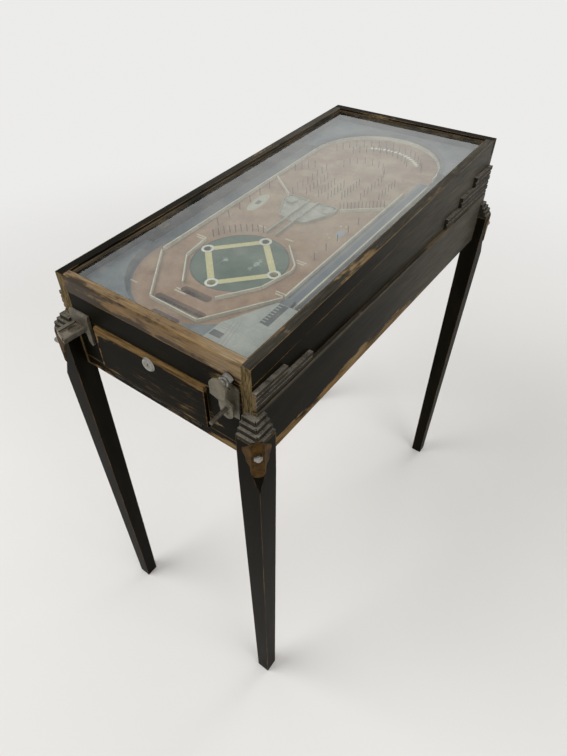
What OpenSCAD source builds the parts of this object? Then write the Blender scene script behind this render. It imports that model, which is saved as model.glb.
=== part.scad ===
/* [Cabinet] */
// Width over the side boards
cab_w = 425; // [390:1:470]
// Length from the front face to the back face
cab_l = 900; // [840:1:980]
// Height of the lid's top edge at the front
top_front = 1028; // [1000:1:1050]
// Height of the lid's top edge at the back
top_back = 1091; // [1075:1:1110]
// Height of the underside at the front
base_front = 832; // [815:1:840]
// Height of the underside at the back
base_back = 846; // [835:1:855]
// Thickness of the side, front and back boards
board_t = 19; // [16:0.5:22]
// Thickness of the bottom board
bottom_t = 10; // [6:0.5:14]
// Thickness of the lower side panels, which stand proud
skirt_t = 8; // [5:0.5:12]
// Height of a lower side panel at the front
skirt_h_front = 117; // [100:1:120]
// Height of a lower side panel at the back
skirt_h_back = 120; // [105:1:125]
// Leg length of the triangular corner blocks
block_leg = 48; // [40:1:52]
// Height of the corner blocks
block_h = 56; // [50:1:58]

/* [Side bars] */
// How far the stepped bars stand proud of the side boards
bar_proud = 8; // [5:0.5:12]
// Height of one front bar
bar_h_front = 18; // [15:0.5:19]
// Height of one back bar
bar_h_back = 23; // [20:0.5:24]
// Length of the top front bar
bar_front_len = 77; // [60:1:100]
// How much longer each lower front bar is
bar_front_step = 68; // [40:1:90]
// Length of the top back bar
bar_back_len = 95; // [70:1:120]
// How much longer each lower back bar is
bar_back_step = 69; // [40:1:90]

/* [Lid] */
// Height of the lid frame's rails
lid_h = 32.5; // [30:0.5:33]
// Width of the lid frame's side and back rails
lid_rail_w = 18; // [15:0.5:22]
// Width of the lid frame's front rail
lid_front_w = 16; // [14:0.5:20]
// Depth of the glass below the top of the rails
glass_drop = 8; // [6:0.5:9]
// Thickness of the glass
glass_t = 3; // [2.5:0.1:4]
// Depth of the groove that holds the glass
groove_d = 5; // [3:0.5:7]
// Width and height of the bead round the glass
bead_w = 4; // [3:0.5:5]
// Spacing of the two lid hinges
lid_hinge_gap = 240; // [200:5:280]
// Length of one lid hinge
lid_hinge_len = 50; // [40:1:60]

/* [Legs] */
// Height of the legs' outer faces outside the cabinet's sides
leg_out_x = 30; // [27:0.5:34]
// The same outside the front and back faces
leg_out_y = 27; // [25:0.5:30]
// Width of a leg at the top
leg_top_w = 43; // [40:0.5:48]
// Width of a leg at the foot
leg_foot_w = 31; // [26:0.5:36]
// Inward lean of a foot's outer corner, sideways
foot_in_x = 3.5; // [0:0.5:5]
// Inward lean of a foot's outer corner, lengthways
foot_in_y = 5.5; // [0:0.5:6]
// Height at which the taper starts
leg_knee = 815; // [790:1:820]
// Height of a leg's top, under its stepped cap
leg_top_z = 909; // [903:1:914]
// Width of the chamfer's legs on the outer corner
leg_chamfer = 14; // [10:0.5:16]
// Height of one step of the cap
cap_step_h = 8.5; // [7:0.5:9]
// Depth of one step of the cap
cap_step_d = 5.2; // [4.4:0.2:5.4]
// How far the lowest step stands back from the leg's outer faces
cap_inset = 0.5; // [0.2:0.1:1.2]
// Sheet thickness of the corner brackets
bracket_t = 1.6; // [1.2:0.1:2]
// Diameter of the leg bolts
bolt_d = 8; // [6:0.5:9]
// Height of the leg bolts above the floor
bolt_z = 883; // [876:1:888]

/* [Playfield] */
// Depth of the field below the lid's top edge
field_depth = 40; // [39:0.5:41]
// Thickness of the field board
field_t = 9; // [7:0.5:11]
// Centre line of the oval and the turning disc
oval_x = -8; // [-11:1:-5]
// Place of the disc's centre along the field
disc_y = 242; // [238:1:246]
// Radius of the turning disc
disc_r = 91.5; // [88:0.5:93]
// Radius of the circle through the four bases
base_pcr = 78; // [75:0.5:79]
// Radius of a base's hole
base_hole_r = 7.6; // [6:0.1:7.8]
// Diameter of the balls
ball_d = 16; // [15:0.5:16.5]
// Diameter of the disc's spindle
spindle_d = 8; // [6:0.5:9]
// Height of the fences and rails above the field
fence_h = 6.5; // [5:0.5:9]
// Thickness of the fences
fence_t = 3; // [2:0.5:4]
// Inner radius of the outer rail's arch
arch_r = 151; // [148:1:153]
// Distance from the outer arch's centre to the back face
arch_back = 191; // [190:1:230]
// Distance from the arch's centre down to the metal gate
wing_back = 215; // [200:1:250]
// Height of the corner fillers above the field
filler_h = 13; // [12.8:0.1:15]
// Height of a pin above the field
pin_h = 15; // [12:0.5:17]
// Diameter of a pin
pin_d = 1.8; // [1.5:0.1:2.4]

/* [Shooter] */
// Centre line of the shooter and its lane
shoot_x = 172.5; // [171:0.5:174]
// Width of the shooter lane
lane_w = 26; // [22:0.5:28]
// Diameter of the shooter rod
shoot_rod_d = 6; // [5:0.5:6]
// Height of the shooter rod's axis above the field
shoot_h = 7.6; // [7:0.1:7.9]
// Travel of the shooter
shoot_travel = 30; // [20:1:32]
// Place of the rod's inner end at rest
shoot_tip_y = 172; // [160:1:180]
// Diameter of the guide rod
guide_d = 7; // [6:0.5:7.5]
// Height of the guide rod above the floor
guide_z = 942; // [939:1:945]

/* [Coin chute] */
// Centre line of the coin slide
chute_x = -177; // [-177:0.5:-176]
// Width of the chute's casting
chute_w = 50; // [46:1:50]
// Thickness of the casting in front of the board
chute_t = 6; // [5:0.5:8]
// Top of the chute's tongue
tongue_z = 936; // [933:0.5:938]
// Width of the tongue
tongue_w = 36; // [35:1:38]
// Length of the tongue at its longer side
tongue_l = 52; // [50:1:54]
// Diameter of the coin seat
coin_d = 21.6; // [20:0.1:22]
// Width of the coin slide
slide_w = 25; // [24.5:0.5:25]
// Thickness of the coin slide
slide_t = 2.6; // [2.4:0.1:3]
// Travel of the coin slide
slide_travel = 38; // [30:1:38]

/* [Cash door] */
// Distance from the cabinet's left side to the door
door_left = 76.5; // [68:0.5:90]
// Distance from the door to the cabinet's right side
door_right = 92.5; // [70:0.5:100]
// Height of the cash door
door_h = 92; // [84:1:93]
// Height of the door's lower edge above the floor
door_z = 856; // [854:1:858]
// How far the door stands proud of the front
door_proud = 6; // [3:0.5:8]
// Diameter of the lock's ring
lock_ring_d = 28; // [24:0.5:32]
// Diameter of the lock's barrel
lock_d = 19; // [16:0.5:20]

/* [Clearances] */
// Radial clearance of a running fit
run_fit = 0.06; // [0.03:0.01:0.09]
// Gap beside a moving board or cover
move_gap = 1.5; // [1:0.1:2]
// Gap under a piece that slides or seats loosely
seat_gap = 0.3; // [0.2:0.05:0.4]
// Gap under a piece that rests on a sloping board
rest_gap = 0.02; // [0.01:0.01:0.05]

/* [Hidden] */
$fn = 48;
eps = 0.02;
far = 400;

// Colours
wood_black = [0.11, 0.10, 0.09];
wood_bare = [0.45, 0.34, 0.22];
metal_grey = [0.50, 0.50, 0.46];
copper = [0.55, 0.36, 0.16];
steel = [0.72, 0.73, 0.74];

// Heights along the sloping lines of the cabinet
slope = atan((top_back - top_front) / cab_l);
base_slope = (base_back - base_front) / cab_l;
function z_top(y) = top_front + y * tan(slope);
function z_rim(y) = z_top(y) - lid_h;
function z_field(y) = z_top(y) - field_depth;
function z_base(y) = base_front + y * base_slope;
function z_skirt(y) = z_base(y) + skirt_h_front + y * (skirt_h_back - skirt_h_front) / cab_l;

half_w = cab_w / 2;
in_w = half_w - board_t;
skirt_x = half_w + skirt_t;
bolt_in = leg_chamfer / 2;
head_h = 4;
dome_d = 11;
skew = 12 / tongue_w;
slide_nose = 2.2;
slide_left_y = -tongue_l + 12 - skew * (tongue_w - slide_w) / 2;
slide_right_y = slide_left_y - skew * slide_w;
reach_front = max(tongue_l, slide_nose - skew - slide_right_y);
reach_back = leg_out_y - bolt_in + (bracket_t + head_h) / sqrt(2) + dome_d / 2;
front_y = -(cab_l + reach_back - reach_front) / 2;

// Moves cabinet coordinates, whose origin is the front face on the floor, into the part's frame
module cabinet() {
  translate([0, front_y, 0]) children();
}

// Extrudes a side view, given as points of length and height, between two widths
module side_view(points, x0, x1) {
  translate([x0, 0, 0]) rotate([90, 0, 90]) linear_extrude(x1 - x0) polygon(points);
}

// Extrudes a front view, drawn as width and height, between two depths
module front_view(y0, y1) {
  translate([0, y1, 0]) rotate([90, 0, 0]) linear_extrude(y1 - y0) children();
}

// Local frame of the playfield: x across, y up the slope, z out of its surface
module field() {
  cabinet() translate([0, 0, z_field(0)]) rotate([slope, 0, 0]) children();
}

module mirror_x(on) {
  if (on) mirror([1, 0, 0]) children();
  else children();
}

module mirror_y(on) {
  if (on) mirror([0, 1, 0]) children();
  else children();
}

// A bar with rounded ends in plan, from one point to another
module strip(a, b, w) {
  d = b - a;
  l = norm(d);
  translate(a) rotate(atan2(d[1], d[0])) {
    translate([0, -w / 2]) square([l, w]);
    circle(d = w);
    translate([l, 0]) circle(d = w);
  }
}

module slot_shape(x0, x1, y, w) {
  strip([x0 + w / 2, y], [x1 - w / 2, y], w);
}

// Cabinet boards

// Places children on the line of a leg bolt, with z along the bolt, inward
module bolt_line(ix, iy) {
  x = ix * (half_w + leg_out_x - bolt_in);
  y = iy < 0 ? -leg_out_y + bolt_in : cab_l + leg_out_y - bolt_in;
  translate([x, y, bolt_z]) mirror_x(ix > 0) mirror_y(iy > 0) rotate([0, 90, 45]) children();
}

bolt_len = 104;
module bolt_holes() {
  for (ix = [-1, 1], iy = [-1, 1])
    bolt_line(ix, iy) translate([0, 0, -20]) cylinder(d = bolt_d + 0.4, h = bolt_len + 20);
}

module side_board(ix) {
  x0 = ix < 0 ? -half_w : in_w;
  color(wood_black) cabinet() difference() {
    side_view([[0, z_base(0)], [cab_l, z_base(cab_l)], [cab_l, z_rim(cab_l)], [0, z_rim(0)]],
      x0, x0 + board_t);
    bolt_holes();
  }
}

module side_board_left() { side_board(-1); }
module side_board_right() { side_board(1); }

// Lower side panel with a sloping ledge on top
ledge_drop = 1.5;
module skirt(ix) {
  color(wood_black) cabinet() difference() {
    mirror_x(ix < 0) difference() {
      side_view([[0, z_base(0)], [cab_l, z_base(cab_l)], [cab_l, z_skirt(cab_l)], [0, z_skirt(0)]],
        half_w, skirt_x);
      translate([skirt_x, -1, z_skirt(0)]) rotate([atan(z_skirt(1) - z_skirt(0)), 0, 0])
        translate([0, 0, -ledge_drop]) rotate([0, -atan(ledge_drop / skirt_t), 0])
        translate([-skirt_t * 2, 0, 0]) cube([skirt_t * 3, cab_l * 1.1, 20]);
    }
    bolt_holes();
  }
}

module skirt_left() { skirt(-1); }
module skirt_right() { skirt(1); }

// Section of one decorative bar: two ridges with a groove between, width then height
module bar_section(h) {
  p = bar_proud;
  polygon([[0, 0], [0.55 * p, 0], [0.55 * p, 0.06 * h], [0.9 * p, 0.12 * h], [0.9 * p, 0.44 * h],
    [0.6 * p, 0.5 * h], [0.6 * p, 0.58 * h], [p, 0.64 * h], [p, h], [0, h]]);
}

module bar(y0, y1, z, h) {
  translate([half_w, y1, z]) rotate([90, 0, 0]) linear_extrude(y1 - y0) bar_section(h);
}

// Two front bars and three back bars, each lower one longer, on one side
module side_bars(ix) {
  color(metal_grey) cabinet() mirror_x(ix < 0) difference() {
    union() {
      for (i = [0, 1]) {
        len = bar_front_len + i * bar_front_step;
        bar(0, len, z_skirt(0) + 2 + (1 - i) * bar_h_front, bar_h_front - seat_gap * (1 - i));
      }
      for (i = [0, 1, 2]) {
        len = bar_back_len + i * bar_back_step;
        bar(cab_l - len, cab_l, z_skirt(cab_l) - 4 + (2 - i) * bar_h_back, bar_h_back);
      }
    }
    side_view([[-1, 0], [cab_l + 1, 0], [cab_l + 1, z_skirt(cab_l + 1)], [-1, z_skirt(-1)]],
      half_w - 1, skirt_x + 5);
  }
}

module side_bars_left() { side_bars(-1); }
module side_bars_right() { side_bars(1); }

door_x0 = door_left - half_w;
door_x1 = half_w - door_right;
door_w = door_x1 - door_x0;
door_x = (door_x0 + door_x1) / 2;
door_z1 = door_z + door_h;
rail_z = door_z1 + move_gap;
shoot_z = z_field(0) + shoot_h / cos(slope);

// Line of the guide rod, parallel to the shooter: z runs inward from the front face
module guide_line() {
  translate([shoot_x, 0, guide_z]) rotate([slope - 90, 0, 0]) children();
}

// Top rail of the front, notched for the shooter rod
module front_top_rail() {
  color(wood_black) cabinet() difference() {
    translate([-in_w, 0, rail_z]) cube([2 * in_w, board_t, z_rim(0) - rail_z]);
    shooter_line() translate([0, 0, -5]) cylinder(r = shoot_rod_d / 2 + run_fit, h = 40);
    translate([shoot_x - shoot_rod_d / 2 - run_fit, -5, shoot_z + 1])
      cube([shoot_rod_d + 2 * run_fit, 40, 20]);
  }
}

module front_bottom_rail() {
  color(wood_black) cabinet()
    side_view([[0, z_base(0)], [board_t, z_base(board_t)], [board_t, door_z - move_gap],
      [0, door_z - move_gap]], -in_w, in_w);
}

chute_hole_w = slide_w + 7;
module front_panel_left() {
  x1 = door_x0 - move_gap;
  color(wood_black) cabinet() difference() {
    translate([-in_w, 0, door_z - move_gap])
      cube([x1 + in_w, board_t, rail_z - door_z + move_gap]);
    translate([chute_x - chute_hole_w / 2, -1, tongue_z - 14])
      cube([chute_hole_w, board_t + 2, 17]);
    bolt_holes();
  }
}

module front_panel_right() {
  x0 = door_x1 + move_gap;
  color(wood_black) cabinet() difference() {
    translate([x0, 0, door_z - move_gap])
      cube([in_w - x0, board_t, rail_z - door_z + move_gap]);
    guide_line() translate([0, 0, -4]) cylinder(d = guide_d, h = board_t + 8);
    bolt_holes();
  }
}

module back_board() {
  y0 = cab_l - board_t;
  color(wood_black) cabinet() difference() {
    side_view([[y0, z_base(y0)], [cab_l, z_base(cab_l)], [cab_l, z_rim(cab_l)], [y0, z_rim(y0)]],
      -in_w, in_w);
    bolt_holes();
  }
}

module bottom_board() {
  y0 = board_t;
  y1 = cab_l - board_t;
  color(wood_bare) cabinet()
    side_view([[y0, z_base(y0)], [y1, z_base(y1)], [y1, z_base(y1) + bottom_t],
      [y0, z_base(y0) + bottom_t]], -in_w, in_w);
}

// Triangular blocks inside the corners, which the leg bolts pull against
module corner_blocks() {
  color(wood_bare) cabinet() difference() {
    for (ix = [-1, 1], iy = [-1, 1]) {
      y = iy < 0 ? board_t : cab_l - board_t;
      z = z_base(y) + bottom_t + (iy < 0 ? 1 : 0);
      translate([ix * in_w, y, z]) mirror_x(ix > 0) mirror_y(iy > 0)
        linear_extrude(block_h) polygon([[0, 0], [block_leg, 0], [0, block_leg]]);
    }
    bolt_holes();
  }
}

// Legs

// Places children with the leg's outer corner at the origin, x and y pointing inward
module leg_corner(ix, iy) {
  x = ix * (half_w + leg_out_x);
  y = iy < 0 ? -leg_out_y : cab_l + leg_out_y;
  translate([x, y, 0]) mirror_x(ix > 0) mirror_y(iy > 0) children();
}

// The space that the cabinet itself fills
module cabinet_space() {
  side_view([[0, z_base(0)], [cab_l, z_base(cab_l)], [cab_l, z_top(cab_l)], [0, z_top(0)]],
    -skirt_x, skirt_x);
}

function taper(foot_in) = [[foot_in, 0], [foot_in + leg_foot_w, 0], [leg_top_w, leg_knee],
  [leg_top_w, leg_top_z], [0, leg_top_z], [0, leg_knee]];

// The chamfer of the outer corner starts here and deepens upward over its run
chamfer_run = 34;
chamfer_z = leg_knee - 15;
module leg(ix, iy) {
  color(wood_black) cabinet() difference() {
    leg_corner(ix, iy) difference() {
      intersection() {
        translate([0, 60, 0]) rotate([90, 0, 0]) linear_extrude(60) polygon(taper(foot_in_x));
        rotate([90, 0, 90]) linear_extrude(60) polygon(taper(foot_in_y));
      }
      rotate([0, 0, 45]) rotate([90, 0, 0]) linear_extrude(80, center = true)
        polygon([[-40, chamfer_z], [0, chamfer_z], [leg_chamfer / sqrt(2), chamfer_z + chamfer_run],
          [leg_chamfer / sqrt(2), 1000], [-40, 1000]]);
    }
    cabinet_space();
    bolt_holes();
  }
}

module leg_front_left() { leg(-1, -1); }
module leg_front_right() { leg(1, -1); }
module leg_back_left() { leg(-1, 1); }
module leg_back_right() { leg(1, 1); }

// Stepped shoulder that wraps each leg's top on its two outer faces, mitred at the corner
cap_steps = 4;
cap_foot_h = 6.5;
cap_mitre = 1.6;
module cap_step(i) {
  inset = cap_inset + i * cap_step_d;
  z0 = leg_top_z + (i > 0 ? cap_foot_h + (i - 1) * cap_step_h : 0);
  h = i > 0 ? cap_step_h : cap_foot_h;
  translate([0, 0, z0]) difference() {
    translate([inset, inset, 0]) cube([leg_top_w - inset, leg_top_w - inset, h]);
    rotate([0, 0, 45]) translate([-1, -cap_mitre / 2, -1])
      cube([(inset + 3.5) * sqrt(2) + 1, cap_mitre, h + 2]);
    rotate([0, 0, 45]) translate([-40, -20, -1]) cube([40 + leg_chamfer / sqrt(2), 40, h + 2]);
  }
}

module leg_caps() {
  color(metal_grey) cabinet() for (ix = [-1, 1], iy = [-1, 1])
    difference() {
      leg_corner(ix, iy) for (i = [0 : cap_steps - 1]) cap_step(i);
      cabinet_space();
    }
}

// Outline of a corner bracket, seen along the bolt: width from the middle, then height
bracket_w = 22.5;
module bracket_outline() {
  for (s = [-1, 1]) mirror_x(s < 0) difference() {
    polygon([[-eps, 32.5], [7, 31], [14, 22], [bracket_w, 10], [bracket_w, 4],
      [18.5, -6], [18, -15], [12.5, -24], [12, -39], [7, -49], [-eps, -50.5]]);
    translate([bracket_w + 2.5, -7]) circle(r = 6);
    translate([18, -31]) circle(r = 6);
  }
}

// Plan section of the bent sheet that wraps the chamfered corner
module bracket_bend() {
  c = leg_chamfer;
  t = bracket_t;
  k = t * (sqrt(2) - 1);
  polygon([[leg_top_w, 0], [c, 0], [0, c], [0, leg_top_w], [-t, leg_top_w], [-t, c - k],
    [c - k, -t], [leg_top_w, -t]]);
}

module leg_brackets() {
  color(copper) cabinet() for (ix = [-1, 1], iy = [-1, 1])
    leg_corner(ix, iy) difference() {
      intersection() {
        translate([0, 0, bolt_z - 60]) linear_extrude(cap_floor() - bolt_z + 60) bracket_bend();
        translate([leg_chamfer / 2, leg_chamfer / 2, bolt_z]) rotate([0, 0, -45])
          translate([0, 40, 0]) rotate([90, 0, 0]) linear_extrude(80) bracket_outline();
      }
      translate([leg_chamfer / 2, leg_chamfer / 2, bolt_z]) rotate([0, 90, 45])
        translate([0, 0, -20]) cylinder(d = bolt_d + 0.4, h = 40);
    }
}

function cap_floor() = leg_top_z + cap_foot_h;

// Bolts with a domed hexagon head on the bracket
module leg_bolts() {
  color(steel) cabinet() for (ix = [-1, 1], iy = [-1, 1]) bolt_line(ix, iy) {
    cylinder(d = bolt_d, h = bolt_len);
    translate([0, 0, -bracket_t - head_h]) cylinder(d = 15, h = head_h, $fn = 6);
    translate([0, 0, -bracket_t]) cylinder(d = bolt_d, h = bracket_t);
    translate([0, 0, -bracket_t - head_h]) intersection() {
      sphere(d = dome_d);
      translate([0, 0, -dome_d]) cylinder(d = 20, h = dome_d);
    }
  }
}

// Nuts and washers inside, on the blocks' slanted faces
nut_run = (leg_out_x + board_t - bolt_in + leg_out_y + board_t - bolt_in + block_leg) / sqrt(2);
module leg_nuts() {
  color(steel) cabinet() for (ix = [-1, 1], iy = [-1, 1]) bolt_line(ix, iy)
    translate([0, 0, nut_run]) difference() {
      union() {
        cylinder(d = 18, h = 1.6);
        cylinder(d = 14, h = 8, $fn = 6);
      }
      translate([0, 0, -1]) cylinder(r = bolt_d / 2 + run_fit, h = 20);
    }
}

// Playfield

field_y0 = board_t + 0.5;
field_y1 = cab_l - board_t - 0.5;
field_x = in_w - 0.5;
slot_rows = [[-42, 26, 125, 17], [-67, 46, 87, 14], [-42, 20, 52, 12]];

module field_board() {
  color([0.55, 0.33, 0.25]) difference() {
    cabinet() side_view([[field_y0, z_field(field_y0) - field_t],
      [field_y1, z_field(field_y1) - field_t], [field_y1, z_field(field_y1)],
      [field_y0, z_field(field_y0)]], -field_x, field_x);
    field() {
      translate([oval_x, disc_y, -20]) cylinder(r = disc_r + 0.6, h = 40, $fn = 96);
      translate([0, 0, -20]) linear_extrude(40) for (s = slot_rows)
        slot_shape(s[0], s[1], s[2], s[3]);
    }
  }
}

// Cleats along the side boards that carry the field board
cleat = 12;
module field_cleats() {
  y0 = board_t;
  y1 = cab_l - board_t;
  color(wood_bare) cabinet() for (x = [-in_w, in_w - cleat])
    side_view([[y0, z_field(y0) - field_t - cleat], [y1, z_field(y1) - field_t - cleat],
      [y1, z_field(y1) - field_t - rest_gap], [y0, z_field(y0) - field_t - rest_gap]],
      x, x + cleat);
}

arch_x = 0;
arch_y = cab_l - arch_back;
low_x = -21;
low_y = 188;
low_r = 148;
lane_x0 = shoot_x - lane_w / 2;
lane_x1 = shoot_x + lane_w / 2;
field_len = field_y1 / cos(slope);
arch_out_r = arch_r + fence_t;
low_edge = field_y0 + 3;
lane_end = arch_y - 9;

module arch_circle(r) {
  translate([arch_x, arch_y]) circle(r = r, $fn = 96);
}

// Raised pieces in the corners outside the oval, and the strip right of the lane
module corner_fillers() {
  top_y = field_len - 1;
  turn_r = lane_x1 - arch_x - arch_out_r;
  color([0.50, 0.52, 0.52]) field() linear_extrude(filler_h) {
    difference() {
      translate([-field_x, arch_y]) square([arch_x + field_x, top_y - arch_y]);
      arch_circle(arch_out_r);
    }
    difference() {
      translate([arch_x + eps, lane_end]) square([field_x - arch_x, top_y - lane_end]);
      arch_circle(arch_out_r);
      translate([arch_x, lane_end - 1]) square([arch_out_r, arch_y - lane_end + 1]);
      translate([arch_x + arch_out_r, lane_end]) circle(r = turn_r, $fn = 96);
    }
    difference() {
      translate([-field_x, low_edge]) square([low_x + field_x - 60, low_y - low_edge]);
      translate([low_x, low_y]) circle(r = low_r + 8, $fn = 96);
    }
    difference() {
      translate([40, low_edge]) square([lane_x0 - 44, low_y - low_edge]);
      translate([low_x, low_y]) circle(r = low_r + 8, $fn = 96);
      translate([low_x, low_y - 21]) square([lane_x0, 40]);
    }
    translate([lane_x1, low_edge]) square([field_x - lane_x1, lane_end - low_edge]);
  }
}

// Outer rail: up the left side and round the arch to the lane's mouth
module arch_rail() {
  side_y = 192;
  color([0.80, 0.78, 0.70]) field() linear_extrude(fence_h + 1) {
    translate([arch_x - arch_out_r, side_y]) square([fence_t, arch_y - side_y]);
    difference() {
      arch_circle(arch_out_r - 0.02);
      arch_circle(arch_r);
      translate([arch_x - far, arch_y - far]) square([2 * far, far]);
    }
  }
}

// Rail between the oval and the shooter lane, and the lane's own wall
rail_x = 127.5;
module lane_rail() {
  color([0.80, 0.78, 0.70]) field() linear_extrude(fence_h) {
    strip([rail_x, 198], [rail_x, arch_y - 91], fence_t);
    translate([lane_x0 - 3, low_edge]) square([3, lane_end - 30 - low_edge]);
  }
}

// Straight fences: outer and inner ones round the disc, and the upper diagonals
wing_y = arch_y - wing_back;
fence_runs = [
  [[-151, 186], [-66, 73.5], [45, 70], [126, 191]],
  [[-108, 262], [-100.5, 200.5], [-48, 134]],
  [[43, 327], [88.5, 281], [93, 262], [78, 196], [31, 131]],
  [[-148, wing_y + 53], [-77.5, wing_y]], [[123, wing_y + 50], [52.5, wing_y - 2]]];
fence_lines = [for (r = fence_runs) for (i = [1 : len(r) - 1])
  let (u = (r[i] - r[i - 1]) / norm(r[i] - r[i - 1]) * fence_t / 2)
  [r[i - 1] + (i > 1 ? u : [0, 0]), r[i] - (i < len(r) - 1 ? u : [0, 0])]];
module fence_rails() {
  color([0.84, 0.82, 0.74]) field() linear_extrude(fence_h)
    for (f = fence_lines) strip(f[0], f[1], fence_t - 0.6);
}

// Pins, in arcs and rows
function arc_pins(cx, cy, r, a0, a1, n) =
  [for (i = [0 : n - 1]) let (a = a0 + (a1 - a0) * i / (n - 1)) [cx + r * cos(a), cy + r * sin(a)]];
function row_pins(a, b, n) = [for (i = [0 : n - 1]) a + (b - a) * i / (n - 1)];
pin_places = concat(
  arc_pins(arch_x, arch_y - 10, 118, 20, 160, 17),
  arc_pins(arch_x, arch_y - 10, 86, 35, 145, 11),
  arc_pins(arch_x, arch_y - 44, 52, 10, 170, 9),
  arc_pins(oval_x, disc_y, 106, 103, 158, 10),
  row_pins([46, wing_y + 7], [118, wing_y + 62], 13),
  row_pins([-76, wing_y + 12], [-76, wing_y + 146], 8),
  row_pins([-50, wing_y + 26], [-50, wing_y + 110], 7),
  row_pins([-22, wing_y + 30], [-22, wing_y + 94], 6),
  row_pins([2, wing_y + 30], [2, wing_y + 94], 6),
  row_pins([26, wing_y + 46], [26, wing_y + 118], 7),
  row_pins([60, wing_y + 66], [60, wing_y + 156], 7),
  row_pins([92, wing_y + 86], [92, wing_y + 156], 6),
  row_pins([-136, wing_y + 106], [-108, wing_y + 146], 4),
  row_pins([-128, disc_y + 78], [-134, wing_y + 6], 6),
  row_pins([104, disc_y + 78], [108, wing_y - 24], 5));

module field_pins() {
  color([0.62, 0.60, 0.52]) field() for (p = pin_places)
    translate([p[0], p[1], 0]) cylinder(d = pin_d, h = pin_h, $fn = 16);
}

// Pressed metal gate: two wings with a dished cup each, over a channel to the top base
wing_x = -13.5;
wing_h = 6;
wing_t = 1.2;
channel_in = 11;
cup_place = [44, -18];
wing_half = [[0, 0], [58, 0], [62, -16], [60, -26], [42, -62], [34, -78], [28, -84], [0, -84]];
module wing_plan(inset) {
  for (s = [-1, 1]) mirror_x(s < 0) translate([0, wing_y]) {
    k = 1 - inset / 40;
    translate([0, -38 * (1 - k)]) scale(k) polygon(wing_half);
  }
}

module metal_wings() {
  y0 = disc_y + base_pcr + 25;
  color(metal_grey) field() translate([wing_x, 0, 0]) difference() {
    union() {
      linear_extrude(wing_h) difference() {
        wing_plan(0);
        wing_plan(wing_t);
      }
      linear_extrude(2.4) wing_plan(wing_t / 2);
      for (s = [-1, 1]) {
        translate([s * cup_place[0], wing_y + cup_place[1], 0]) cylinder(r = 13, h = wing_h);
        translate([s * channel_in - 1.2, y0, 0]) cube([2.4, wing_y - y0, wing_h]);
      }
    }
    for (s = [-1, 1]) translate([s * cup_place[0], wing_y + cup_place[1], 13.4])
      sphere(r = 13.2);
    translate([-channel_in + 1.2, y0 - 1, 1]) cube([2 * channel_in - 2.4, wing_y - y0 + 9, 20]);
  }
}

// Plate over the lower right corner, which covers the shooter's inner end
plate_y1 = 169;
module score_plate() {
  color([0.72, 0.73, 0.71]) field() translate([0, 0, filler_h]) linear_extrude(1)
    polygon([[86, low_edge], [field_x - 0.5, low_edge], [field_x - 0.5, plate_y1],
      [134, plate_y1], [89, 80]]);
}

// Turning disc with four base pockets, level with the field
module base_places() {
  for (a = [0, 90, 180, 270]) rotate(a) translate([base_pcr, 0, 0]) children();
}

module runner_disc() {
  color([0.20, 0.33, 0.27]) field() translate([oval_x, disc_y, 0]) difference() {
    translate([0, 0, -field_t]) cylinder(r = disc_r, h = field_t, $fn = 96);
    base_places() translate([0, 0, -field_t - 1]) cylinder(r = base_hole_r, h = field_t + 2);
    translate([0, 0, -field_t - 1]) cylinder(d = spindle_d, h = field_t - 1);
  }
}

module base_cups() {
  color([0.90, 0.89, 0.84]) field() translate([oval_x, disc_y, 0]) base_places() difference() {
    cylinder(r = base_hole_r + 5, h = 0.8);
    translate([0, 0, -1]) cylinder(r = base_hole_r, h = 3);
  }
}

bearing_drop = 30;
module disc_spindle() {
  color(steel) field() translate([oval_x, disc_y, -field_t - bearing_drop]) {
    cylinder(d = spindle_d, h = bearing_drop + field_t - 2);
    translate([0, 0, bearing_drop - 3]) cylinder(d = 2.4 * spindle_d, h = 3);
    translate([0, 0, -3]) cylinder(d = 1.6 * spindle_d, h = 3);
  }
}

// Bridge under the field board that carries the spindle
module disc_bearing() {
  len = 2 * disc_r + 40;
  t = 4;
  color(wood_bare) field() translate([oval_x, disc_y, -field_t]) difference() {
    union() {
      translate([-len / 2, -18, -bearing_drop]) cube([len, 36, 14]);
      for (s = [-1, 1]) translate([s * (len / 2 - 8) - 8, -18, -bearing_drop])
        cube([16, 36, bearing_drop]);
    }
    translate([0, 0, -bearing_drop - t]) cylinder(r = spindle_d / 2 + run_fit, h = 60);
  }
}

// Sloping trough under the drop slots, with its row of balls
trough_y = 88;
trough_x0 = -120;
trough_x1 = 110;
trough_z = 34;
module ball_trough() {
  color(wood_bare) field() translate([0, trough_y, -field_t - trough_z]) difference() {
    translate([trough_x0, -58, 0]) cube([trough_x1 - trough_x0, 116, trough_z]);
    translate([trough_x0 + 5, -53, 5]) cube([trough_x1 - trough_x0 - 10, 106, trough_z]);
  }
}

ball_count = 7;
module balls() {
  color(steel) field() for (i = [0 : ball_count - 1])
    translate([trough_x1 - 5 - ball_d / 2 - 0.3 - i * (ball_d + 0.3), trough_y - 53 + ball_d / 2 + 0.3,
      -field_t - trough_z + 5 + ball_d / 2])
      sphere(d = ball_d);
}

// Shooter

// Line of the shooter: z runs inward along the rod, from the front face
module shooter_line() {
  translate([shoot_x, 0, shoot_z]) rotate([slope - 90, 0, 0]) children();
}

plate_w = 33;
plate_z0 = 918;
plate_z1 = 981;
plate_t = 3;
module shooter_plate() {
  color(metal_grey) cabinet() difference() {
    front_view(-plate_t, 0) translate([shoot_x - plate_w / 2, plate_z0]) difference() {
      square([plate_w, plate_z1 - plate_z0]);
      for (x = [0, plate_w]) translate([x, plate_z1 - plate_z0]) rotate(45) square(7, center = true);
    }
    guide_line() translate([0, 0, -8]) cylinder(d = guide_d, h = 12);
    translate([shoot_x, -plate_t - 1, shoot_z - 22]) rotate([-90, 0, 0])
      cylinder(d = 4.2, h = plate_t + 2);
  }
}

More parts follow.
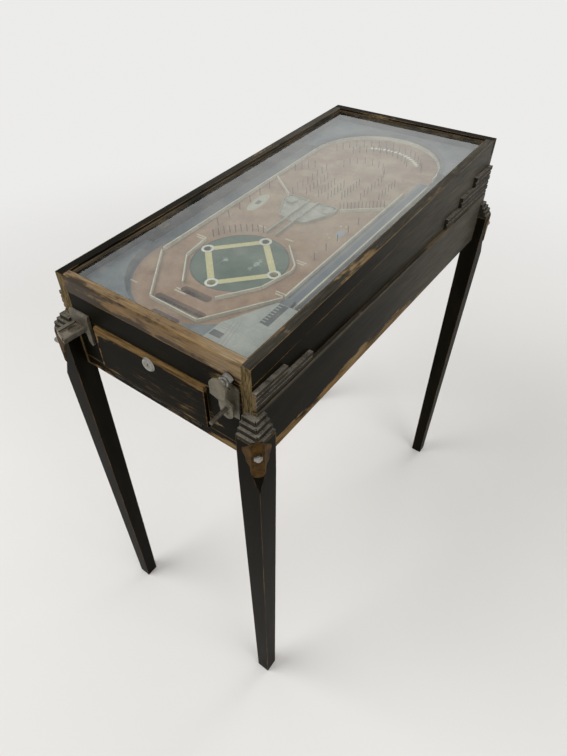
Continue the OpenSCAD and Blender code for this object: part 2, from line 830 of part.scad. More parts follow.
guide_out = 51;
module guide_rod() {
  color(steel) cabinet() {
    guide_line() translate([0, 0, 3 - guide_out]) {
      translate([0, 0, 0.8]) cylinder(d = guide_d, h = guide_out + board_t - 0.8);
      cylinder(d1 = guide_d - 1.6, d2 = guide_d, h = 0.8);
    }
    difference() {
      guide_line() translate([0, 0, board_t]) cylinder(d = guide_d * 2, h = 5, $fn = 6);
      translate([shoot_x - 10, 0, guide_z - 10]) cube([20, board_t, 20]);
    }
  }
}

shoot_len = shoot_tip_y / cos(slope);
knob_y = 24;
collar_at = 60;
module shooter_rod() {
  color(steel) cabinet() shooter_line() {
    translate([0, 0, -knob_y]) cylinder(d = shoot_rod_d, h = knob_y + shoot_len);
    translate([0, 0, shoot_len]) cylinder(d = 9.4, h = 4);
    translate([0, 0, collar_at]) cylinder(d = 9.6, h = 3);
  }
}

// Handle: a round thumb plate on the rod, running down to an eye on the guide rod
handle_t = 3.5;
handle_r = 15.5;
eye_r = 12.5;
module shooter_handle() {
  y_top = -knob_y;
  y_low = -9;
  z_top_plate = shoot_z - 2;
  z_eye = guide_z - 9;
  color(metal_grey) cabinet() difference() {
    union() {
      intersection() {
        front_view(-60, 0) {
          translate([shoot_x, z_top_plate]) circle(r = handle_r);
          translate([shoot_x, z_eye]) circle(r = eye_r);
          polygon([[shoot_x - handle_r + 0.8, z_top_plate - 5], [shoot_x + handle_r - 0.8, z_top_plate - 5],
            [shoot_x + eye_r - 2, z_top_plate - 24], [shoot_x + eye_r, z_eye],
            [shoot_x - eye_r + 0.3, z_eye - 2], [shoot_x - eye_r - 2, z_eye + 7],
            [shoot_x - handle_r + 0.5, z_top_plate - 22]]);
        }
        side_view([[y_low, z_eye - 20], [y_low, guide_z + 10], [y_top, z_top_plate - 16],
          [y_top, z_top_plate + 30], [y_top - handle_t, z_top_plate + 30],
          [y_top - handle_t, z_top_plate - 17], [y_low - handle_t, guide_z + 8],
          [y_low - handle_t, z_eye - 20]], shoot_x - 30, shoot_x + 30);
      }
      translate([shoot_x, y_low - handle_t, guide_z - 12]) sphere(d = 6);
    }
    guide_line() translate([0, 0, -60]) cylinder(r = guide_d / 2 + 0.25, h = 62);
  }
}

// Chrome sleeve and collar between the spring and the handle
module shooter_sleeve() {
  color(steel) cabinet() shooter_line() difference() {
    union() {
      translate([0, 0, -knob_y + 1.2]) cylinder(d = 15, h = 7);
      translate([0, 0, -knob_y + 8]) cylinder(d1 = 15, d2 = 19, h = 2);
      translate([0, 0, -knob_y + 10]) cylinder(d = 19, h = 2.6);
    }
    translate([0, 0, -knob_y]) cylinder(d = shoot_rod_d, h = 30);
  }
}

// Coil of round wire, as one tube swept along a helix
function ring(p, u, v, r, n) = [for (k = [0 : n - 1])
  p + r * cos(360 * k / n) * u + r * sin(360 * k / n) * v];
module coil(r, wire, turns, len, per = 12, n = 6) {
  m = turns * per;
  rise = (len - wire - 0.3) / m;
  function at(i) = [r * cos(360 * i / per), r * sin(360 * i / per), wire / 2 + 0.15 + i * rise];
  points = [for (i = [0 : m]) each ring(at(i), [cos(360 * i / per), sin(360 * i / per), 0],
    [0, 0, 1], wire / 2, n)];
  sides = [for (i = [0 : m - 1], k = [0 : n - 1], t = [0, 1])
    let (a = i * n + k, b = i * n + (k + 1) % n)
    t == 0 ? [a, b, b + n] : [a, b + n, a + n]];
  ends = concat([[for (k = [n - 1 : -1 : 0]) k]], [[for (k = [0 : n - 1]) m * n + k]]);
  polyhedron(points, concat([for (s = sides) [s[2], s[1], s[0]]], [for (e = ends) [for (k =
    [len(e) - 1 : -1 : 0]) e[k]]]));
}

bumper_r = 8.2;
bumper_gap = 1.2;
module bumper_spring() {
  color(steel) cabinet() shooter_line() translate([0, 0, -knob_y + 12.6])
    coil(bumper_r, 2, 4, knob_y - 12.6 - bumper_gap);
}

module shooter_spring() {
  color(steel) cabinet() shooter_line() translate([0, 0, board_t + 1.6])
    coil(4.2, 0.9, 14, collar_at - board_t - 1.8);
}

// Coin chute

slide_x0 = chute_x - slide_w / 2;
slide_top = tongue_z - 2.4;
mouth_h = slide_t + 0.8;

nose_h = 5;
pocket_t = 2.4;

// Casting: plate with a rolled top edge and a tongue that carries the coin slide
tongue_x = chute_x - 2;
module chute_plate() {
  z0 = 897;
  z1 = 962;
  side = 12;
  x0 = tongue_x - tongue_w / 2 - 1.5;
  x1 = x0 + chute_w - 1;
  color(metal_grey) cabinet() difference() {
    union() {
      intersection() {
        side_view([[-chute_t, z0], [0, z0], [0, z1], [-chute_t, z1]], x0, x1);
        union() {
          side_view([[-chute_t, z0], [0, z0], [0, z1 - chute_t], [-chute_t, z1 - chute_t]], x0, x1);
          translate([x0, 0, z1 - chute_t]) rotate([0, 90, 0]) cylinder(r = chute_t, h = x1 - x0);
        }
        front_view(-chute_t - 1, 1) polygon([[x0, z1], [x1, z1], [x1, z0 + 6], [x1 - 4, z0],
          [x1 - 11, z0 + 7], [x1 - 13, tongue_z - 14], [x0, tongue_z - 14]]);
      }
      translate([0, 0, tongue_z - 9]) linear_extrude(9)
        polygon([[tongue_x - tongue_w / 2, 0], [tongue_x + tongue_w / 2, 0],
          [tongue_x + tongue_w / 2, -tongue_l], [tongue_x - tongue_w / 2, -tongue_l + side]]);
    }
    translate([slide_x0 - 0.2, -tongue_l - 1, slide_top - slide_t - seat_gap / 2])
      cube([slide_w + 0.4, tongue_l + 1 - chute_t + pocket_t, slide_t + nose_h + 0.8]);
    translate([slide_x0 - 0.2, -tongue_l, slide_top - slide_t - seat_gap / 2])
      cube([slide_w + 0.4, tongue_l + 1, mouth_h]);
  }
}

// Sleeve through the front board that guides the slide and drops the coin
house_l = 78;
module chute_housing() {
  w = chute_hole_w - 1;
  z0 = tongue_z - 13;
  color(metal_grey) cabinet() difference() {
    translate([chute_x - w / 2, 0, z0]) cube([w, house_l, 15]);
    translate([slide_x0 - 0.2, -1, slide_top - slide_t - seat_gap / 2])
      cube([slide_w + 0.4, house_l + 2, mouth_h]);
    translate([chute_x, board_t + 14, z0 - 1]) cylinder(d = coin_d + 4, h = 9);
  }
}

slide_in = 22;
module coin_slide() {
  z0 = slide_top - slide_t;
  x1 = slide_x0 + slide_w;
  color([0.52, 0.47, 0.40]) cabinet() difference() {
    union() {
      translate([0, 0, z0]) linear_extrude(slide_t)
        polygon([[slide_x0, slide_in], [x1, slide_in], [x1, slide_right_y], [slide_x0, slide_left_y]]);
      translate([0, 0, z0]) linear_extrude(slide_t + nose_h)
        polygon([[slide_x0 + 1, slide_left_y - skew], [x1 - 1, slide_right_y + skew],
          [x1 - 1, slide_right_y + skew - slide_nose], [slide_x0 + 1, slide_left_y - skew - slide_nose]]);
    }
    translate([chute_x, -18, z0 - 1]) cylinder(d = coin_d, h = 10);
    translate([chute_x - coin_d / 2 + 1, slide_left_y + 3, z0 + slide_t - 1.2])
      cube([coin_d - 2, -18 - slide_left_y - 3, 2]);
  }
}

// Box behind the door that catches the coins
module cash_box() {
  t = 5;
  y0 = board_t + 6;
  y1 = y0 + 150;
  x0 = door_x0 + 4;
  x1 = door_x1 - 4;
  h = 50;
  b = bottom_t;
  color(wood_bare) cabinet() difference() {
    side_view([[y0, z_base(y0) + b + rest_gap], [y1, z_base(y1) + b + rest_gap],
      [y1, z_base(y1) + b + h], [y0, z_base(y0) + b + h]], x0, x1);
    side_view([[y0 + t, z_base(y0) + b + t], [y1 - t, z_base(y1) + b + t],
      [y1 - t, z_base(y1) + b + h + 1], [y0 + t, z_base(y0) + b + h + 1]], x0 + t, x1 - t);
  }
}

// Cash door

hinge_r = 2.6;
hinge_pin_r = 1.2;
hinge_y = -hinge_r - 0.2;
hinge_z = door_z - hinge_r - 0.2;
lock_z = 932;
lock_x = -2;

module cash_door() {
  bevel = 2.5;
  color(wood_black) cabinet() difference() {
    union() {
      translate([door_x0, 0, door_z]) cube([door_w, board_t - 1, door_h]);
      translate([door_x0, -door_proud, 0]) rotate([90, 0, 90]) linear_extrude(door_w)
        polygon([[bevel, door_z], [door_proud, door_z], [door_proud, door_z1],
          [bevel, door_z1], [0, door_z1 - bevel], [0, door_z + bevel]]);
    }
    translate([lock_x, -20, lock_z]) rotate([-90, 0, 0]) cylinder(d = lock_d, h = 60);
    translate([-far, -door_proud - 1, door_z - 1])
      cube([2 * far, door_proud + hinge_y + hinge_r + 1, 1.5]);
    door_leaf_space();
  }
}

// Butt hinge along the door's lower edge: knuckles in turn on rail and door
knuckles = 9;
knuckle_len = 24;
knuckle_gap = 0.4;
hinge_x0 = door_x - knuckles * knuckle_len / 2;
leaf_t = 1;

module knuckle_row(first) {
  for (i = [first : 2 : knuckles - 1])
    translate([hinge_x0 + i * knuckle_len + knuckle_gap / 2, hinge_y, hinge_z])
      rotate([0, 90, 0]) cylinder(r = hinge_r, h = knuckle_len - knuckle_gap);
}

module hinge_pin(extra) {
  translate([hinge_x0, hinge_y, hinge_z]) rotate([0, 90, 0])
    cylinder(r = hinge_pin_r + extra, h = knuckles * knuckle_len);
}

module door_hinge_leaf() {
  color(steel) cabinet() {
    difference() {
      union() {
        knuckle_row(0);
        for (i = [0 : 2 : knuckles - 1])
          translate([hinge_x0 + i * knuckle_len + knuckle_gap / 2, -leaf_t, hinge_z - 12])
            cube([knuckle_len - knuckle_gap, leaf_t, 12]);
      }
      for (i = [1 : 2 : knuckles - 2])
        translate([hinge_x0 + i * knuckle_len - 1, -10, hinge_z - 20]) cube([2, 1, 1]);
    }
    hinge_pin(0);
  }
}

module door_leaf_space() {
  translate([hinge_x0, hinge_y - leaf_t / 2 - eps, door_z - 1])
    cube([knuckles * knuckle_len, leaf_t + 2 * eps, 15]);
}

module door_hinge_arm() {
  color(steel) cabinet() difference() {
    union() {
      knuckle_row(1);
      translate([hinge_x0 + knuckle_gap / 2, hinge_y - leaf_t / 2, door_z + 0.3])
        cube([knuckles * knuckle_len - knuckle_gap, leaf_t, 13]);
      for (i = [1 : 2 : knuckles - 1])
        translate([hinge_x0 + i * knuckle_len + knuckle_gap / 2, hinge_y - leaf_t / 2, hinge_z])
          cube([knuckle_len - knuckle_gap, leaf_t, door_z + 1 - hinge_z]);
    }
    hinge_pin(run_fit);
  }
}

// Lock: barrel with a domed ring, turning cylinder with a key slot, and a cam behind
core_d = 12;
lock_front = -door_proud - 4;
lock_len = door_proud + board_t + 6;
module lock_line() {
  cabinet() translate([lock_x, -door_proud, lock_z]) rotate([-90, 0, 0]) children();
}

module lock_body() {
  color(steel) lock_line() difference() {
    union() {
      cylinder(d = lock_d, h = lock_len - 4);
      translate([0, 0, -3]) cylinder(d1 = lock_ring_d - 5, d2 = lock_ring_d, h = 3);
    }
    translate([0, 0, -10]) cylinder(r = core_d / 2 + run_fit, h = 60);
    translate([0, 0, -3.5]) cylinder(d1 = 18, d2 = core_d + 1, h = 2);
  }
}

module lock_cylinder() {
  color([0.62, 0.60, 0.55]) lock_line() difference() {
    translate([0, 0, -1.6]) cylinder(d = core_d, h = lock_len - 4 + 1.6 + 3);
    translate([-0.8, -3.5, -3]) cube([1.6, 7, 12]);
  }
}

module lock_cam() {
  color(steel) lock_line() translate([0, 0, lock_len - 4 + seat_gap]) difference() {
    union() {
      cylinder(d = 18, h = 2);
      translate([0, -6, 0]) cube([28, 12, 2]);
    }
    translate([0, 0, -1]) cylinder(d = core_d, h = 4);
  }
}

// Lid

lid_y0 = lid_front_w;
lid_y1 = cab_l - lid_rail_w;
lid_x = half_w - lid_rail_w;
lid_gap = 0.3;

// Side view band between two depths below the lid's top edge
function band(y0, y1, d0, d1) = [[y0, z_top(y0) - d1], [y1, z_top(y1) - d1],
  [y1, z_top(y1) - d0], [y0, z_top(y0) - d0]];

module glass_space(extra) {
  g = groove_d + extra;
  side_view(band(lid_y0 - g, lid_y1 + g, glass_drop - extra, glass_drop + glass_t + extra),
    -lid_x - g, lid_x + g);
}

module lid_rail_front() {
  color(wood_bare) cabinet() difference() {
    side_view([[0, z_top(0) - lid_h + lid_gap], [lid_y0, z_top(lid_y0) - lid_h + lid_gap],
      [lid_y0, z_top(lid_y0)], [5, z_top(5)], [2, z_top(2) - 1], [0.6, z_top(0) - 3],
      [0, z_top(0) - 6]], -lid_x, lid_x);
    glass_space(0.1);
    shooter_line() translate([0, 0, -5]) {
      cylinder(r = shoot_rod_d / 2 + 1, h = 40);
      translate([-shoot_rod_d / 2 - 1, 0, 0]) cube([shoot_rod_d + 2, 20, 40]);
    }
  }
}

module lid_rail_back() {
  color(wood_black) cabinet() difference() {
    side_view(band(lid_y1, cab_l, 0, lid_h - lid_gap), -half_w, half_w);
    glass_space(0.1);
  }
}

module lid_rail_sides() {
  color(wood_black) cabinet() difference() {
    for (x = [-half_w, lid_x])
      side_view(band(0, lid_y1, 0, lid_h - lid_gap), x, x + lid_rail_w);
    glass_space(0.1);
  }
}

module glass_pane() {
  color([0.75, 0.82, 0.82, 0.35]) cabinet() glass_space(0);
}

// Bead on top of the glass, all the way round
module glass_bead() {
  color([0.62, 0.56, 0.46]) cabinet() difference() {
    side_view(band(lid_y0, lid_y1, glass_drop - bead_w, glass_drop), -lid_x, lid_x);
    side_view(band(lid_y0 + bead_w, lid_y1 - bead_w, 0, glass_drop + 1),
      -lid_x + bead_w, lid_x - bead_w);
  }
}

// Lid hinges behind the back edge
lid_pin_r = 1.6;
lid_knuckle_r = 3.2;
lid_axis_y = cab_l + lid_knuckle_r + 0.2;
lid_axis_z = z_rim(cab_l) + lid_gap / 2;
lid_parts = 5;

module lid_hinge_place() {
  for (s = [-1, 1]) translate([s * lid_hinge_gap / 2 - lid_hinge_len / 2, lid_axis_y, lid_axis_z])
    children();
}

module lid_knuckles(first) {
  step = lid_hinge_len / lid_parts;
  for (i = [first : 2 : lid_parts - 1]) translate([i * step + 0.15, 0, 0]) {
    rotate([0, 90, 0]) cylinder(r = lid_knuckle_r, h = step - 0.3);
    children();
  }
}

module lid_hinge_leaves() {
  step = lid_hinge_len / lid_parts;
  color(steel) cabinet() lid_hinge_place() {
    lid_knuckles(0) translate([0, -lid_knuckle_r - 0.2, -6]) cube([step - 0.3, 3, 6]);
    translate([0, -lid_knuckle_r - 0.2, -26]) cube([lid_hinge_len, 1.4, 21]);
    rotate([0, 90, 0]) cylinder(r = lid_pin_r, h = lid_hinge_len);
  }
}

module lid_hinge_arms() {
  step = lid_hinge_len / lid_parts;
  color(steel) cabinet() lid_hinge_place() difference() {
    union() {
      lid_knuckles(1) translate([0, -lid_knuckle_r - 0.2, 0]) cube([step - 0.3, 3, 6]);
      translate([0, -lid_knuckle_r - 0.2, 5]) cube([lid_hinge_len, 1.4, 19]);
    }
    translate([-1, 0, 0]) rotate([0, 90, 0]) cylinder(r = lid_pin_r + run_fit, h = lid_hinge_len + 2);
  }
}

side_board_left();
side_board_right();
skirt_left();
skirt_right();
side_bars_left();
side_bars_right();
front_top_rail();
front_bottom_rail();
front_panel_left();
front_panel_right();
back_board();
bottom_board();
corner_blocks();
leg_front_left();
leg_front_right();
leg_back_left();
leg_back_right();
leg_caps();
leg_brackets();
leg_bolts();
leg_nuts();
field_board();
field_cleats();
corner_fillers();
arch_rail();
lane_rail();
fence_rails();
field_pins();
metal_wings();
score_plate();
runner_disc();
base_cups();
disc_spindle();
disc_bearing();
ball_trough();
balls();
shooter_plate();
guide_rod();
shooter_rod();
shooter_handle();
shooter_sleeve();
bumper_spring();
shooter_spring();
chute_plate();
chute_housing();
coin_slide();
cash_box();
cash_door();
door_hinge_leaf();
door_hinge_arm();
lock_body();
lock_cylinder();
lock_cam();
lid_rail_front();
lid_rail_back();
lid_rail_sides();
glass_pane();
glass_bead();
lid_hinge_leaves();
lid_hinge_arms();
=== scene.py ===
import math

import bpy
from mathutils import Matrix, Vector

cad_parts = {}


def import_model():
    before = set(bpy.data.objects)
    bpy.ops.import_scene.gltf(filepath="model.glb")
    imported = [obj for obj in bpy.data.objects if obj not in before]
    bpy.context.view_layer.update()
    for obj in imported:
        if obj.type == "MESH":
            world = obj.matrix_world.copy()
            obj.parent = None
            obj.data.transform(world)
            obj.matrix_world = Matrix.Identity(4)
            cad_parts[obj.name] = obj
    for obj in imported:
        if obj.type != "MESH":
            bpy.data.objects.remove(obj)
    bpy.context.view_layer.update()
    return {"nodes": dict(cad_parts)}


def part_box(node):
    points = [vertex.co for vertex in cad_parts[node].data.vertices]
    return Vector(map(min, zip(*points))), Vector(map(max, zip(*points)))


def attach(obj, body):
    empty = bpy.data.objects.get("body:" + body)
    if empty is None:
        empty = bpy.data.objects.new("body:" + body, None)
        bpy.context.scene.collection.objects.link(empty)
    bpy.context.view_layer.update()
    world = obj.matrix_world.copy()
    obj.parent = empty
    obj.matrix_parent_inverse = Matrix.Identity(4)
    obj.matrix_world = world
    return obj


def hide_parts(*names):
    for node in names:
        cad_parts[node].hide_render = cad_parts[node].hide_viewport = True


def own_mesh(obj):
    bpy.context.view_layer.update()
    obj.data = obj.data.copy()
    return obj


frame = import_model()
NODES = frame["nodes"]

# Axes that the grain runs along
ACROSS, ALONG, UPRIGHT = 0, 1, 2

# The cabinet, in metres
FRONT_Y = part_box("side_board_left")[0].y
CABINET_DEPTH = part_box("side_board_left")[1].y - FRONT_Y
TOP_RISE = 0.063
BASE_RISE = 0.014
SLOPE = math.atan(TOP_RISE / CABINET_DEPTH)
BASE_SLOPE = BASE_RISE / CABINET_DEPTH
FIELD_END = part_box("field_board")[1]
FIELD_Z = FIELD_END.z - (FIELD_END.y - FRONT_Y) * math.tan(SLOPE)
SKIRT_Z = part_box("skirt_left")[0].z
SKIRT_H = 0.117
SKIRT_GROWTH = 0.003

# The field, in millimetres across it and up its slope
DISC_X, DISC_Y = -8, 242
ARCH_Y, ARCH_R = 709, 152
LOW_X, LOW_Y, LOW_R = -21, 188, 148
FIELD_LEFT_X = -154
LANE_RAIL_X, LANE_RIGHT_X = 127.5, 157
LANE_FRONT_Y, LANE_BACK_Y = 60, 690
LOZENGE_Y, LOZENGE_R = ARCH_Y - 14, 112
TOKEN_X, TOKEN_Y, TOKEN_W, TOKEN_H, TOKEN_TURN = -116, 436, 14.0, 38.0, 0.10
EMBLEM_X, EMBLEM_Y, EMBLEM_W, EMBLEM_H = 97, 420, 9.0, 17.0
# Each dot's place and radius
DOTS = ((82, 446, 2.4), (92, 450, 1.8), (106, 396, 2.4), (86, 398, 1.8), (76, 408, 1.6))
# The middle and half the length of each row of small squares
SQUARE_ROWS = (
    (-128, 270, 11), (-126, 264, 8), (88, 302, 11), (90, 296, 8), (-48, 362, 9), (26, 350, 9),
    (112, 207, 11), (112, 201, 8), (-40, 120, 10), (-36, 114, 13), (-52, 86, 10), (-128, 92, 8))
SQUARE_HALF = 1.7
# Half the width of a printed edge's blur
PRINT_SOFT = 0.35

# Colours, as linear RGB
LACQUER = (0.0036, 0.0029, 0.0015)
# Grey of the painted reflection on the black lacquer
REFLECTION_GREY = (0.100, 0.091, 0.073)
# Dark of the painted shadow outside the oval
RAIL_SHADOW_TONE = (0.042, 0.052, 0.064)
PRINT_PALE = (0.78, 0.76, 0.68)

# The studio: strengths, and metres from the middle of the object
BACKGROUND = 0.84
WORLD_LIGHT = 0.50
FLOOR_HALF = 40.0
FADE_START, FADE_END = 1.0, 3.2

# The photograph's camera
CAMERA_TURN, CAMERA_DIP, CAMERA_ROLL = 35.874, 42.725, 0.398
CAMERA_X, CAMERA_BEFORE_FRONT, CAMERA_Z = 0.558875, 0.40311, 1.5045
FOCAL_PIXELS, PHOTO_HEIGHT_PIXELS, SENSOR_HEIGHT = 528.23, 756, 36.0


# Node helpers

class Val:
    """A number in a node tree, with arithmetic."""

    def __init__(self, tree, socket):
        self.tree = tree
        self.socket = socket

    def op(self, kind, *others):
        node = self.tree.nodes.new("ShaderNodeMath")
        node.operation = kind
        for i, value in enumerate((self, *others)):
            if isinstance(value, Val):
                self.tree.links.new(value.socket, node.inputs[i])
            else:
                node.inputs[i].default_value = value
        return Val(self.tree, node.outputs[0])

    def __add__(self, other):
        return self.op("ADD", other)

    def __sub__(self, other):
        return self.op("SUBTRACT", other)

    def __mul__(self, other):
        return self.op("MULTIPLY", other)

    def __truediv__(self, other):
        return self.op("DIVIDE", other)

    def __neg__(self):
        return self.op("MULTIPLY", -1.0)

    def abs(self):
        return self.op("ABSOLUTE")

    def max(self, other):
        return self.op("MAXIMUM", other)

    def min(self, other):
        return self.op("MINIMUM", other)

    def inv(self):
        return -self + 1.0

    def fract(self):
        return self.op("FRACT")

    def step(self, low, high):
        """0 below low, 1 above high, smooth between; reversed when low > high."""
        rising = low < high
        node = self.tree.nodes.new("ShaderNodeMapRange")
        node.interpolation_type = "SMOOTHSTEP"
        self.tree.links.new(self.socket, node.inputs["Value"])
        node.inputs["From Min"].default_value = min(low, high)
        node.inputs["From Max"].default_value = max(low, high)
        node.inputs["To Min"].default_value = 0.0 if rising else 1.0
        node.inputs["To Max"].default_value = 1.0 if rising else 0.0
        return Val(self.tree, node.outputs[0])

    def near(self, low, high):
        """1 up to low and 0 from high on."""
        return self.step(high, low)


def length(a, b):
    return (a * a + b * b).op("SQRT")


def circle(x, y, cx, cy, r):
    return length(x - cx, y - cy).near(r - PRINT_SOFT, r + PRINT_SOFT)


def box_mask(x, y, x0, x1, y0, y1):
    half_x = (x1 - x0) / 2
    half_y = (y1 - y0) / 2
    inside_x = (x - (x0 + x1) / 2).abs().near(half_x - PRINT_SOFT, half_x + PRINT_SOFT)
    inside_y = (y - (y0 + y1) / 2).abs().near(half_y - PRINT_SOFT, half_y + PRINT_SOFT)
    return inside_x * inside_y


def mottle(blot, fine, share, low, high):
    """Mask of large blots broken up by fine ones; share is the part of the large ones."""
    return (blot * share + fine * (1 - share)).step(low, high)


def mix_shaders(tree, fac, first, second):
    node = tree.nodes.new("ShaderNodeMixShader")
    tree.links.new(fac.socket, node.inputs[0])
    tree.links.new(first.outputs[0], node.inputs[1])
    tree.links.new(second.outputs[0], node.inputs[2])
    return node


def seen_directly(tree):
    """1 for a ray that the camera sends straight, off a mirror or through glass."""
    path = tree.nodes.new("ShaderNodeLightPath")
    seen = Val(tree, path.outputs["Is Camera Ray"]).max(Val(tree, path.outputs["Is Glossy Ray"]))
    return seen.max(Val(tree, path.outputs["Is Transmission Ray"]))


class Mat:
    """One procedural material, called m below."""

    def __init__(self, name, roughness=0.5, metallic=0.0, specular=0.5):
        self.mat = bpy.data.materials.new(name)
        self.mat.use_nodes = True
        self.tree = self.mat.node_tree
        self.tree.nodes.clear()
        self.out = self.tree.nodes.new("ShaderNodeOutputMaterial")
        self.bsdf = self.tree.nodes.new("ShaderNodeBsdfPrincipled")
        self.tree.links.new(self.bsdf.outputs[0], self.out.inputs[0])
        self.set("Roughness", roughness)
        self.set("Metallic", metallic)
        self.set("Specular IOR Level", specular)
        self.tex = self.tree.nodes.new("ShaderNodeTexCoord")
        self.coords = self.tex.outputs["Object"]

    def set(self, name, value):
        socket = self.bsdf.inputs[name]
        if isinstance(value, Val):
            self.tree.links.new(value.socket, socket)
        elif isinstance(value, bpy.types.NodeSocket):
            self.tree.links.new(value, socket)
        else:
            socket.default_value = value

    def xyz(self, source=None):
        node = self.tree.nodes.new("ShaderNodeSeparateXYZ")
        self.tree.links.new(source or self.coords, node.inputs[0])
        return [Val(self.tree, out) for out in node.outputs]

    def behind_front(self):
        """Distance behind the cabinet's front, in metres."""
        return self.xyz()[1] - FRONT_Y

    def normal(self):
        """Direction of the surface in the piece's own frame."""
        return self.xyz(self.tex.outputs["Normal"])

    def facing_up(self, low=0.4, high=0.8):
        return self.normal()[2].step(low, high)

    def front_end(self):
        """1 on what faces forward at the cabinet's front, such as a board's end grain."""
        return self.normal()[1].step(-0.6, -0.9) * self.behind_front().near(0.002, 0.004)

    def field(self):
        """Field coordinates in millimetres: across, and up the slope."""
        x, y, z = self.xyz()
        up = (y - FRONT_Y) * math.cos(SLOPE) + (z - FIELD_Z) * math.sin(SLOPE)
        return x * 1000.0, up * 1000.0

    def noise(self, scale, detail, rough, stretch=(1, 1, 1), shift=(0, 0, 0)):
        mapping = self.tree.nodes.new("ShaderNodeMapping")
        mapping.inputs["Scale"].default_value = [scale * s for s in stretch]
        mapping.inputs["Location"].default_value = shift
        self.tree.links.new(self.coords, mapping.inputs["Vector"])
        node = self.tree.nodes.new("ShaderNodeTexNoise")
        node.inputs["Scale"].default_value = 1.0
        node.inputs["Detail"].default_value = detail
        node.inputs["Roughness"].default_value = rough
        self.tree.links.new(mapping.outputs[0], node.inputs["Vector"])
        return Val(self.tree, node.outputs["Fac"])

    def mix(self, fac, first, second):
        """First colour where fac is 0, second where it is 1. Each is linear RGB or a socket."""
        node = self.tree.nodes.new("ShaderNodeMix")
        node.data_type = "RGBA"
        self.tree.links.new(fac.socket, node.inputs[0])
        for value, socket in ((first, node.inputs[6]), (second, node.inputs[7])):
            if isinstance(value, bpy.types.NodeSocket):
                self.tree.links.new(value, socket)
            else:
                socket.default_value = (*value, 1.0)
        return node.outputs[2]

    def edge(self, radius, low=0.01, high=0.22):
        """1 on the object's edges, 0 on its flats."""
        bevel = self.tree.nodes.new("ShaderNodeBevel")
        bevel.samples = 6
        bevel.inputs["Radius"].default_value = radius
        geometry = self.tree.nodes.new("ShaderNodeNewGeometry")
        dot = self.tree.nodes.new("ShaderNodeVectorMath")
        dot.operation = "DOT_PRODUCT"
        self.tree.links.new(bevel.outputs[0], dot.inputs[0])
        self.tree.links.new(geometry.outputs["True Normal"], dot.inputs[1])
        return Val(self.tree, dot.outputs["Value"]).inv().step(low, high)

    def bump(self, height, strength, distance):
        node = self.tree.nodes.new("ShaderNodeBump")
        node.inputs["Strength"].default_value = strength
        node.inputs["Distance"].default_value = distance
        self.tree.links.new(height.socket, node.inputs["Height"])
        self.tree.links.new(node.outputs[0], self.bsdf.inputs["Normal"])


def stretch_along(axis, share):
    """Scale of a noise that is drawn out along one axis."""
    return tuple(share if i == axis else 1.0 for i in range(3))


def moved(shift, x=0, y=0, z=0):
    return shift[0] + x, shift[1] + y, shift[2] + z


# Wood

def black_wood(name, axis, wear, scratch, shift=(0, 0, 0), base=LACQUER, extra=None, ends=False, painted_reflection=None):
    """Black lacquer over wood, worn through at the edges and scratched along the grain.

    extra(m) gives more wear where it is above 0, and the mask passed last lays a painted grey reflection over
    lacquer and bare wood;
    ends leaves the front end grain bare."""
    m = Mat(name, specular=0.025)
    grain = m.noise(260, 6, 0.65, stretch_along(axis, 0.06), shift)
    broad = m.noise(30, 4, 0.6, stretch_along(axis, 0.22), moved(shift, x=3))
    patch = m.noise(11, 6, 0.7, stretch_along(axis, 0.6), moved(shift, y=7))
    fine = m.noise(900, 3, 0.7, stretch_along(axis, 0.02), moved(shift, z=5))
    bare = m.mix(grain.step(0.32, 0.70), (0.044, 0.026, 0.010), (0.215, 0.132, 0.052))
    bare = m.mix(broad.step(0.50, 0.70) * 0.5, bare, (0.29, 0.205, 0.105))
    paint = m.mix(broad.step(0.35, 0.7), base, tuple(c * 2.2 for c in base))
    paint = m.mix(grain.step(0.55, 0.80) * 0.3, paint, (0.030, 0.022, 0.012))
    if painted_reflection:
        # Painted reflection: the mask greys the lacquer and the bare wood
        film = painted_reflection(m) * (broad * 0.35 + grain * 0.4 + fine * 0.4).step(0.26, 0.84)
        paint = m.mix(film, paint, REFLECTION_GREY)
        bare = m.mix(film * 0.75, bare, (0.155, 0.130, 0.095))
    worn = m.edge(0.0032) * 0.62 + broad * 1.4 + patch * 1.8 + grain * 0.6 - (2.52 - 0.42 * wear)
    if extra:
        worn = worn + extra(m) * 0.7
    lines = fine * 0.6 + patch * 0.6 + broad * 0.3 - (1.06 - 0.16 * scratch)
    mask = worn.step(0.0, 0.16).max(lines.step(0.0, 0.10) * 0.75)
    if ends:
        front = m.front_end()
        pores = m.noise(500, 4, 0.7, (1, 1, 0.12), (1, 2, 9))
        end_grain = m.mix(pores.step(0.36, 0.66), (0.052, 0.036, 0.016), (0.185, 0.135, 0.062))
        bare = m.mix(front, bare, end_grain)
        mask = mask.max(front * (patch + grain * 0.6).step(0.42, 0.62))
    m.set("Base Color", m.mix(mask, paint, bare))
    m.set("Roughness", mask * 0.22 + broad * 0.20 + 0.34)
    m.bump(grain * 0.7 + fine * 0.3 - mask * 0.5, 0.35, 0.0005)
    return m.mat


